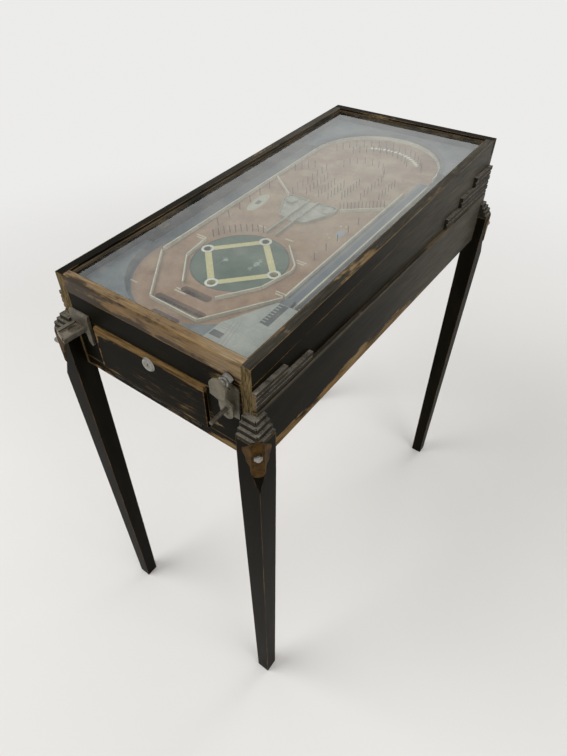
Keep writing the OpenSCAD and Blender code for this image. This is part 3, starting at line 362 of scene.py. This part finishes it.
def worn_wood(name, axis):
    """Brown wood with most of its black lacquer gone."""
    m = Mat(name, specular=0.2)
    grain = m.noise(420, 6, 0.7, stretch_along(axis, 0.045))
    broad = m.noise(46, 5, 0.65, stretch_along(axis, 0.14), (2, 0, 0))
    patch = m.noise(18, 6, 0.7, stretch_along(axis, 0.5), (0, 4, 0))
    wood = m.mix(grain.step(0.3, 0.72), (0.070, 0.038, 0.012), (0.270, 0.168, 0.066))
    wood = m.mix(broad.step(0.42, 0.66) * 0.8, wood, (0.105, 0.058, 0.020))
    x, y, z = m.xyz()
    pale = x.step(0.08, 0.22) * 0.5 + m.facing_up(0.5, 0.9) * 0.25
    wood = m.mix(pale * grain.step(0.3, 0.6), wood, (0.33, 0.265, 0.175))
    left = x.step(0.05, -0.15) * 0.24
    face = m.normal()[1].step(-0.5, -0.9) * 0.10
    foot = (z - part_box("lid_rail_front")[0].z).near(0.0, 0.016) * 0.25
    stain = patch * 1.5 + broad * 0.9 + (left + face + foot) - m.edge(0.003) * 0.35 - 1.33
    m.set("Base Color", m.mix(stain.step(0.0, 0.22) * 0.9, wood, (0.016, 0.011, 0.006)))
    m.set("Roughness", grain * 0.25 + 0.34)
    m.bump(grain, 0.4, 0.0005)
    return m.mat


def bare_wood(name, axis):
    m = Mat(name, roughness=0.7)
    grain = m.noise(220, 6, 0.65, stretch_along(axis, 0.06))
    broad = m.noise(22, 4, 0.6, stretch_along(axis, 0.3), (4, 0, 0))
    tone = m.mix(mottle(grain, broad, 0.7, 0.35, 0.65), (0.16, 0.095, 0.045), (0.36, 0.24, 0.13))
    m.set("Base Color", tone)
    m.bump(grain, 0.3, 0.0004)
    return m.mat


# Where the lacquer is worn, and where painted reflection and highlight grey it

def skirt_edge(m):
    """The side panel's lower edge toward the front, and its ledge."""
    behind = m.behind_front()
    height = m.xyz()[2] - behind * BASE_SLOPE - SKIRT_Z
    low = height.near(0.008, 0.036) * behind.near(0.35, 0.80) * 1.1
    return low.max(m.facing_up(0.3, 0.6) * 0.55)


def leg_corner(m):
    return m.edge(0.0025) * 0.5


def door_edge(m):
    """The door's top, its sides and foot, and its left end."""
    lo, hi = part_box("cash_door")
    x, y, z = m.xyz()
    top = (-z + hi.z).near(0.004, 0.016) + m.facing_up(0.3, 0.7)
    side = (-(x - (lo.x + hi.x) / 2).abs() + (hi.x - lo.x) / 2).near(0.002, 0.006)
    foot = (z - lo.z).near(0.002, 0.008)
    left = (x - lo.x).near(0.02, 0.13) * 0.35
    return (top * 1.1).max(side * 0.4).max(foot * 0.4) + left


def right_rail_top(m):
    """Top of the lid's rail on the right side."""
    return m.facing_up() * m.xyz()[0].step(-0.1, 0.1)


def rail_top(m):
    return right_rail_top(m) * (m.behind_front().step(0.3, 0.9) * 0.35 + 0.25)


def low_front(m):
    """The bottom rail's lower edge and its right end."""
    x, y, z = m.xyz()
    low = (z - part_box("front_bottom_rail")[0].z).near(0.003, 0.018)
    return low * 0.45 + x.step(0.10, 0.20) * 0.28


def reflection_toward_back(m):
    """Painted reflection: a grey sheen on the lacquer, from a hand's width behind the front to the back."""
    return m.behind_front().step(0.10, 0.85)


def skirt_reflection_and_highlight(m):
    """Painted reflection on the back half, and a painted highlight just under the side panel's ledge."""
    skirt_top = m.xyz()[2] - m.behind_front() * (BASE_SLOPE + SKIRT_GROWTH) - SKIRT_Z - SKIRT_H
    return reflection_toward_back(m).max((-skirt_top).near(0.003, 0.011) * 0.8)


# Painted reflection on the back half and on the top of the right rail
def lid_reflection(m):
    return reflection_toward_back(m).max(right_rail_top(m) * 0.55)


# Metal and plain paint

def worn_metal(name, colour, dark, roughness, metallic, edge_light=0.3, shift=(0, 0, 0), scale=60, top=0.0,
               ends=False, specular=0.5):
    """top lightens what faces up, in patches: dust, and painted light from above; ends leaves the front ends
    bare wood.
    """
    m = Mat(name, metallic=metallic, specular=specular)
    blot = m.noise(scale, 6, 0.7, shift=shift)
    fine = m.noise(scale * 9, 4, 0.7, shift=shift)
    tone = m.mix(mottle(blot, fine, 0.7, 0.36, 0.64), dark, colour)
    light = tuple(min(1.0, c * 1.7 + 0.05) for c in colour)
    tone = m.mix(m.edge(0.0012, 0.01, 0.3) * edge_light, tone, light)
    if top:
        # Dust and painted light from above: patches on what faces up turn pale
        rub = m.facing_up() * (blot + fine).step(0.7, 1.15)
        tone = m.mix(rub * top, tone, (0.30, 0.27, 0.22))
    if ends:
        bare = m.front_end() * (blot + fine * 0.5).step(0.55, 0.8)
        tone = m.mix(bare, tone, (0.150, 0.105, 0.050))
    m.set("Base Color", tone)
    m.set("Roughness", blot * 0.25 + (roughness - 0.12))
    m.bump(fine * 0.5 + blot * 0.5, 0.18, 0.0003)
    return m.mat


def painted(name, colour, dark, chips):
    """Paint chipped at the edges; chips says how much."""
    m = Mat(name)
    blot = m.noise(45, 6, 0.7)
    fine = m.noise(360, 4, 0.7, shift=(3, 0, 0))
    tone = m.mix(mottle(blot, fine, 0.6, 0.35, 0.65), dark, colour)
    chipped = (m.edge(0.0012, 0.02, 0.3) * 0.6 + blot - 1.15 + chips).step(0, 0.15)
    m.set("Base Color", m.mix(chipped, tone, (0.06, 0.05, 0.04)))
    return m.mat


# Printed pieces, with painted shadow along the rails

def rail_shadow(x, y):
    """Painted shadow of the rails: a dark band outside the oval."""
    arch = circle(x, y, 0, ARCH_Y, ARCH_R + 14)
    return arch.max(box_mask(x, y, FIELD_LEFT_X - 13, 0, LOW_Y + 60, ARCH_Y)) * 0.75


def filler_paint():
    m = Mat("filler_look")
    x, y = m.field()
    blot = m.noise(30, 6, 0.7)
    fine = m.noise(360, 4, 0.7, shift=(3, 0, 0))
    tone = m.mix(mottle(blot, fine, 0.7, 0.34, 0.66), (0.070, 0.086, 0.098), (0.128, 0.150, 0.162))
    # Painted shadow of the arch rail outside the oval
    tone = m.mix(rail_shadow(x, y), tone, RAIL_SHADOW_TONE)
    rub = (blot + fine * 0.4 - 0.84).step(0.0, 0.12)
    m.set("Base Color", m.mix(rub * 0.5, tone, (0.21, 0.20, 0.17)))
    return m.mat


def oval_mask(x, y):
    """The warm part of the field: a round foot, straight sides and a round arch."""
    foot = circle(x, y, LOW_X, LOW_Y, LOW_R)
    arch = circle(x, y, 0, ARCH_Y, ARCH_R)
    middle = box_mask(x, y, FIELD_LEFT_X, LANE_RAIL_X, LOW_Y, ARCH_Y)
    lane_mouth = box_mask(x, y, 100, ARCH_R, ARCH_Y - 91, ARCH_Y)
    return foot.max(arch).max(middle).max(lane_mouth)


def lozenges(m, colour, x, y):
    """A row of pale lozenges on an arc in the upper field."""
    up = y - LOZENGE_Y
    reach = length(x, up)
    turn = (up / reach).op("ARCCOSINE") * x.op("SIGN")
    cell = ((turn + 0.2) * 11.0).fract() - 0.5
    row = (cell.abs() * 16.0 + (reach - LOZENGE_R).abs()).near(6.0, 7.4)
    row = row * (turn - 0.24).abs().near(0.66, 0.72) * up.step(-1.0, 1.0)
    return m.mix(row * 0.95, colour, PRINT_PALE)


def token(m, colour, x, y):
    """A pale oval on the left, with a ring and a dark centre."""
    dx = x - TOKEN_X
    dy = y - TOKEN_Y
    u = dx * math.cos(TOKEN_TURN) + dy * math.sin(TOKEN_TURN)
    v = dy * math.cos(TOKEN_TURN) - dx * math.sin(TOKEN_TURN)
    reach = length(u / TOKEN_W, v / TOKEN_H)
    colour = m.mix(reach.near(0.98, 1.02) * 0.8, colour, (0.42, 0.43, 0.36))
    colour = m.mix((reach - 0.82).abs().near(0.03, 0.06) * 0.5, colour, (0.20, 0.22, 0.18))
    return m.mix(box_mask(u, v, -5, 5, -8, 8), colour, (0.055, 0.055, 0.050))


def emblem(m, colour, x, y):
    """A blue lozenge on the right, with pale dots round it."""
    diamond = (x - EMBLEM_X).abs() / EMBLEM_W + (y - EMBLEM_Y).abs() / EMBLEM_H
    colour = m.mix(diamond.near(0.97, 1.05) * 0.8, colour, (0.19, 0.27, 0.36))
    for cx, cy, r in DOTS:
        colour = m.mix(circle(x, y, cx, cy, r) * 0.75, colour, (0.55, 0.55, 0.48))
    return colour


def square_rows(m, colour, x, y):
    """Rows of small pale squares round the disc."""
    cells = ((x * 0.30).fract() - 0.5).abs().near(0.30, 0.40)
    for cx, cy, half in SQUARE_ROWS:
        row = box_mask(x, y, cx - half, cx + half, cy - SQUARE_HALF, cy + SQUARE_HALF)
        colour = m.mix(row * cells * 0.85, colour, (0.60, 0.57, 0.47))
    return colour


def field_paint():
    """Printed field: a warm oval on a grey-blue ground, with plain ornament, and painted shadow outside the
    oval.
    """
    m = Mat("field_paint_look")
    x, y = m.field()
    blot = m.noise(30, 6, 0.65)
    fine = m.noise(420, 4, 0.75, shift=(2, 0, 0))
    weave = m.noise(700, 2, 0.5, (1, 0.08, 1), (0, 0, 4))
    worn = (m.noise(12, 5, 0.7, shift=(6, 1, 0)) * 0.7 + blot * 0.5 - 0.52).step(0.0, 0.20)
    ground = m.mix(mottle(blot, fine, 0.6, 0.35, 0.65), (0.080, 0.100, 0.115), (0.125, 0.150, 0.165))
    # Painted shadow of the rails outside the oval
    ground = m.mix(rail_shadow(x, y), ground, RAIL_SHADOW_TONE)
    warm = m.mix(mottle(blot, fine, 0.5, 0.34, 0.66), (0.195, 0.100, 0.052), (0.325, 0.190, 0.108))
    warm = m.mix(worn * (y.step(250, 620) * 0.45 + 0.2), warm, (0.40, 0.30, 0.19))
    warm = m.mix(weave.step(0.52, 0.70) * 0.35, warm, (0.14, 0.082, 0.055))
    colour = m.mix(oval_mask(x, y), ground, warm)
    # Painted shadow: a dark ring just outside the foot of the oval
    shadow_ring = (length(x - LOW_X, y - LOW_Y) - (LOW_R + 4)).abs().near(3.0, 4.0)
    colour = m.mix(shadow_ring * y.near(LOW_Y, LOW_Y + 40) * 0.6, colour, (0.040, 0.052, 0.066))
    lane = box_mask(x, y, LANE_RAIL_X + 4, LANE_RIGHT_X, LANE_FRONT_Y, LANE_BACK_Y)
    colour = m.mix(lane, colour, (0.150, 0.165, 0.172))
    stripe = box_mask(x, y, 138, 150, LANE_FRONT_Y, LANE_BACK_Y)
    colour = m.mix(stripe, colour, (0.075, 0.098, 0.135))
    for ornament in (lozenges, token, emblem, square_rows):
        colour = ornament(m, colour, x, y)
    m.set("Base Color", colour)
    m.set("Roughness", blot * 0.2 + 0.42)
    return m.mat


def disc_paint():
    """Green disc with a square of yellow bands, scuffed in two places, with a painted shadow at its edge."""
    m = Mat("disc_paint_look")
    x, y = m.field()
    u = x - DISC_X
    v = y - DISC_Y
    blot = m.noise(36, 6, 0.7)
    fine = m.noise(500, 4, 0.75)
    rough = m.noise(110, 5, 0.75, shift=(1, 0, 2))
    green = m.mix(mottle(blot, fine, 0.6, 0.35, 0.65), (0.018, 0.050, 0.030), (0.050, 0.100, 0.066))
    rub = (blot + fine * 0.3 - 0.78).step(0.0, 0.10)
    green = m.mix(rub * 0.45, green, (0.20, 0.24, 0.20))
    from_scuffs = length((u + 28) / 15, (v + 14) / 24).min(length((u - 30) / 12, (v - 6) / 30))
    scuffed = (blot * 1.4 + rough * 2.2 - from_scuffs * 0.7 - 1.52).step(0.0, 0.22)
    green = m.mix(scuffed * 0.7, green, (0.36, 0.41, 0.37))
    band = ((u.abs() + v.abs()) - 78.0).abs().near(8.4, 9.2)
    within = u.abs().max(v.abs()).near(79.0, 80.0)
    yellow = m.mix(fine.step(0.35, 0.65), (0.42, 0.37, 0.17), (0.62, 0.56, 0.30))
    colour = m.mix(band * within, green, yellow)
    # Painted shadow: a dark ring at the disc's edge
    shadow_ring = length(u, v).step(88.2, 89.4)
    m.set("Base Color", m.mix(shadow_ring * 0.7, colour, (0.02, 0.03, 0.025)))
    return m.mat


def plate_paint():
    """Pale plate over the lower right corner, with dark panels, steps and plain lines."""
    m = Mat("plate_paint_look")
    x, y = m.field()
    blot = m.noise(50, 6, 0.7)
    fine = m.noise(600, 4, 0.75)
    colour = m.mix(mottle(blot, fine, 0.6, 0.35, 0.65), (0.25, 0.255, 0.235), (0.34, 0.345, 0.32))
    colour = m.mix(box_mask(x, y, 136, 160, 108, 170), colour, (0.30, 0.305, 0.28))
    colour = m.mix(box_mask(x, y, 139, 157, 112, 168), colour, (0.045, 0.050, 0.052))
    steps = (((y - 112) / 7.0).fract() - 0.5).abs().step(0.30, 0.36)
    colour = m.mix(box_mask(x, y, 139.5, 147, 112, 168) * steps, colour, (0.26, 0.28, 0.26))
    colour = m.mix(box_mask(x, y, 90, 112, 49, 62), colour, (0.050, 0.056, 0.060))
    for i in range(3):
        ramp = (x - 118 - i * 6.5) - (y - 34) * -0.22
        line = ramp.abs().near(0.4, 0.9) * box_mask(x, y, 96, 160, 34, 96)
        colour = m.mix(line * 0.6, colour, (0.16, 0.16, 0.15))
    for i in range(3):
        line = box_mask(x, y, 92, 124, 70 + 5 * i, 71.6 + 5 * i)
        colour = m.mix(line * 0.6, colour, (0.18, 0.18, 0.17))
    m.set("Base Color", colour)
    return m.mat


# Glass

def glass_look():
    """Clear pane: it lets light straight through, reflects by angle, and carries a little dust."""
    m = Mat("glass_look")
    tree = m.tree
    tree.nodes.remove(m.bsdf)
    clear = tree.nodes.new("ShaderNodeBsdfTransparent")
    clear.inputs[0].default_value = (0.93, 0.95, 0.94, 1)
    shine = tree.nodes.new("ShaderNodeBsdfGlossy")
    shine.inputs["Color"].default_value = (0.95, 0.98, 1.0, 1)
    shine.inputs["Roughness"].default_value = 0.04
    dust = tree.nodes.new("ShaderNodeBsdfDiffuse")
    dust.inputs["Color"].default_value = (0.76, 0.72, 0.60, 1)
    fresnel = tree.nodes.new("ShaderNodeFresnel")
    fresnel.inputs["IOR"].default_value = 1.5
    geometry = tree.nodes.new("ShaderNodeNewGeometry")
    front = Val(tree, geometry.outputs["Backfacing"]).inv()
    amount = (Val(tree, fresnel.outputs[0]) * 1.7).min(1.0) * front
    haze = length((m.xyz()[0] - 0.04) / 0.30, (m.behind_front() - 0.56) / 0.42).near(0.1, 1.1)
    film = (m.noise(18, 5, 0.7).step(0.3, 0.75) * 0.09 + haze * 0.13) * front
    dusty = mix_shaders(tree, film, clear, dust)
    pane = mix_shaders(tree, amount, dusty, shine)
    tree.links.new(pane.outputs[0], m.out.inputs[0])
    return m.mat


# The pieces and their looks

def dress(nodes, material):
    for name in nodes.split():
        mesh = NODES[name].data
        if not mesh.materials:
            mesh.materials.append(material)
        for i in range(len(mesh.materials)):
            mesh.materials[i] = material


def dress_wood():
    dress("side_board_left", black_wood("side_left_look", ALONG, 0.0, 0.3, ends=True, painted_reflection=reflection_toward_back))
    dress("side_board_right",
          black_wood("side_right_look", ALONG, 0.0, 0.3, (5, 1, 0), ends=True, painted_reflection=reflection_toward_back))
    dress("skirt_left skirt_right",
          black_wood("skirt_look", ALONG, 0.5, 0.5, (1, 6, 2), (0.0062, 0.0050, 0.0030), extra=skirt_edge,
                     ends=True, painted_reflection=skirt_reflection_and_highlight))
    dress("front_top_rail", black_wood("front_rail_look", ACROSS, 1.0, 1.3, (2, 0, 3)))
    dress("front_panel_left front_panel_right", black_wood("front_panel_look", ACROSS, 0.65, 0.8, (2, 5, 3)))
    dress("front_bottom_rail", black_wood("front_low_look", ACROSS, 0.7, 0.7, (7, 5, 3), extra=low_front))
    dress("back_board", black_wood("back_look", ACROSS, 0.25, 0.3, (1, 1, 1)))
    dress("cash_door", black_wood("door_look", ACROSS, 0.6, 1.65, (0, 3, 1), extra=door_edge))
    for side, shift in (("left", (3, 3, 3)), ("right", (3, 8, 1))):
        look = black_wood(f"leg_{side}_look", UPRIGHT, 0.42, 0.6, shift, extra=leg_corner)
        dress(f"leg_front_{side} leg_back_{side}", look)
    dress("lid_rail_sides",
          black_wood("lid_side_look", ALONG, 0.7, 0.7, (9, 3, 1), extra=rail_top, ends=True, painted_reflection=lid_reflection))
    dress("lid_rail_back", black_wood("lid_back_look", ACROSS, 0.7, 0.6, (9, 5, 1)))
    dress("lid_rail_front", worn_wood("lid_front_look", ACROSS))
    dress("glass_bead", black_wood("bead_look", ALONG, 0.7, 0.7, (4, 4, 4), (0.03, 0.028, 0.024)))
    dress("bottom_board corner_blocks field_cleats disc_bearing ball_trough cash_box",
          bare_wood("bare_wood_look", ALONG))


def dress_metal():
    dress("side_bars_left side_bars_right",
          worn_metal("bars_look", (0.038, 0.031, 0.021), (0.012, 0.010, 0.007), 0.55, 0.0, 0.6, top=0.6,
                     ends=True, specular=0.05))
    dress("leg_caps",
          worn_metal("caps_look", (0.042, 0.038, 0.029), (0.014, 0.012, 0.008), 0.5, 0.06, 0.7, top=0.5,
                     specular=0.04))
    dress("leg_brackets",
          worn_metal("copper_look", (0.088, 0.046, 0.010), (0.020, 0.010, 0.003), 0.42, 0.10, 0.25,
                     specular=0.04))
    dress("leg_bolts leg_nuts lock_body shooter_sleeve bumper_spring shooter_rod balls lock_cam",
          worn_metal("plated_look", (0.38, 0.37, 0.345), (0.19, 0.18, 0.155), 0.34, 1.0, 0.25, (1, 2, 3), 90))
    dress("guide_rod shooter_spring disc_spindle chute_housing lid_hinge_leaves lid_hinge_arms",
          worn_metal("dark_steel_look", (0.15, 0.13, 0.105), (0.06, 0.05, 0.038), 0.45, 0.6))
    dress("door_hinge_leaf door_hinge_arm",
          worn_metal("door_hinge_look", (0.030, 0.024, 0.016), (0.010, 0.008, 0.005), 0.5, 0.2, 0.25,
                     specular=0.08))
    dress("lock_cylinder", worn_metal("core_look", (0.34, 0.32, 0.28), (0.18, 0.165, 0.14), 0.35, 1.0))
    dress("shooter_handle shooter_plate",
          worn_metal("cast_look", (0.185, 0.165, 0.115), (0.095, 0.082, 0.055), 0.5, 0.45, 0.35))
    dress("chute_plate",
          worn_metal("chute_look", (0.170, 0.150, 0.112), (0.080, 0.068, 0.050), 0.48, 0.5, 0.45))
    dress("coin_slide", worn_metal("slide_look", (0.24, 0.205, 0.155), (0.13, 0.108, 0.08), 0.4, 0.6))
    dress("metal_wings", worn_metal("wings_look", (0.50, 0.50, 0.44), (0.30, 0.30, 0.26), 0.42, 0.7))
    dress("field_pins", worn_metal("pins_look", (0.10, 0.095, 0.085), (0.05, 0.045, 0.04), 0.45, 0.7, 0.1))


def dress_field():
    dress("field_board", field_paint())
    dress("runner_disc", disc_paint())
    dress("score_plate", plate_paint())
    dress("corner_fillers", filler_paint())
    dress("arch_rail lane_rail fence_rails",
          painted("rail_look", (0.66, 0.62, 0.50), (0.44, 0.40, 0.31), chips=0.15))
    dress("base_cups", painted("cup_look", (0.70, 0.69, 0.62), (0.50, 0.48, 0.42), chips=0.2))
    dress("glass_pane", glass_look())


def closing_spring():
    """Copy of the shooter's spring with its own mesh, attached to the cabinet in place of the hidden
    original; the real spring closes up to 0.27 of its length as the rod is pulled.
    """
    spring = NODES["shooter_spring"]
    coil = bpy.data.objects.new("shooter_coil", spring.data.copy())
    bpy.context.scene.collection.objects.link(coil)
    coil.matrix_world = spring.matrix_world
    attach(coil, "cabinet")
    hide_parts("shooter_spring")
    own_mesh(coil)


# Stage, light and camera

def floor_look():
    """Pale floor that keeps the shadow near the object and fades to the background's white."""
    m = Mat("floor_look", 0.8)
    shade = m.noise(1.3, 3, 0.5)
    m.set("Base Color", m.mix(shade.step(0.2, 0.8), (0.80, 0.79, 0.77), (0.776, 0.766, 0.747)))
    x, y, z = m.xyz()
    faded = seen_directly(m.tree) * length(x, y).step(FADE_START, FADE_END)
    glow = m.tree.nodes.new("ShaderNodeEmission")
    glow.inputs[0].default_value = (1.0, 0.995, 0.985, 1)
    glow.inputs[1].default_value = BACKGROUND
    mixed = mix_shaders(m.tree, faded, m.bsdf, glow)
    m.tree.links.new(mixed.outputs[0], m.out.inputs[0])
    return m.mat


def stage_floor():
    mesh = bpy.data.meshes.new("floor")
    r = FLOOR_HALF
    mesh.from_pydata([(-r, -r, 0), (r, -r, 0), (r, r, 0), (-r, r, 0)], [], [(0, 1, 2, 3)])
    floor = bpy.data.objects.new("floor", mesh)
    bpy.context.scene.collection.objects.link(floor)
    mesh.materials.append(floor_look())


def area(name, place, target, size, power):
    light = bpy.data.lights.new(name, "AREA")
    light.shape = "DISK"
    light.size = size
    light.energy = power
    lamp = bpy.data.objects.new(name, light)
    bpy.context.scene.collection.objects.link(lamp)
    lamp.location = place
    lamp.rotation_euler = (Vector(target) - Vector(place)).to_track_quat("-Z", "Y").to_euler()
    # The pane mirrors the background, not the lamp's round face
    lamp.visible_glossy = False


def background(tree, colour, strength):
    node = tree.nodes.new("ShaderNodeBackground")
    node.inputs[0].default_value = (*colour, 1)
    node.inputs[1].default_value = strength
    return node


def world():
    """Soft light on the object, and a white behind it that the lamps don't need to reach."""
    studio = bpy.data.worlds.new("studio")
    bpy.context.scene.world = studio
    studio.use_nodes = True
    tree = studio.node_tree
    tree.nodes.clear()
    out = tree.nodes.new("ShaderNodeOutputWorld")
    light = background(tree, (1.0, 0.99, 0.97), WORLD_LIGHT)
    white = background(tree, (1.0, 1.0, 1.0), BACKGROUND)
    mixed = mix_shaders(tree, seen_directly(tree), light, white)
    tree.links.new(mixed.outputs[0], out.inputs[0])


def camera():
    turn, dip, roll = (math.radians(a) for a in (CAMERA_TURN, CAMERA_DIP, CAMERA_ROLL))
    ahead = Vector((-math.sin(turn) * math.cos(dip), math.cos(turn) * math.cos(dip), -math.sin(dip)))
    level = Vector((math.cos(turn), math.sin(turn), 0))
    upward = level.cross(ahead)
    right = math.cos(roll) * level + math.sin(roll) * upward
    up = math.cos(roll) * upward - math.sin(roll) * level
    lens = bpy.data.cameras.new("camera")
    lens.sensor_fit = "VERTICAL"
    lens.sensor_height = SENSOR_HEIGHT
    lens.lens = FOCAL_PIXELS / PHOTO_HEIGHT_PIXELS * SENSOR_HEIGHT
    lens.clip_start = 0.05
    lens.clip_end = 120
    eye = bpy.data.objects.new("camera", lens)
    bpy.context.scene.collection.objects.link(eye)
    matrix = Matrix((right, up, -ahead)).transposed().to_4x4()
    matrix.translation = Vector((CAMERA_X, FRONT_Y - CAMERA_BEFORE_FRONT, CAMERA_Z))
    eye.matrix_world = matrix
    bpy.context.scene.camera = eye


dress_wood()
dress_metal()
dress_field()
closing_spring()
stage_floor()
area("key", (-1.6, -1.9, 3.2), (0, 0, 0.9), size=2.4, power=72)
area("fill", (2.6, -0.6, 2.6), (0, 0, 0.8), size=2.4, power=32)
area("back", (0.4, 3.0, 2.8), (0, 0, 0.9), size=2.0, power=26)
world()
camera()
bpy.context.scene.view_settings.view_transform = "Standard"
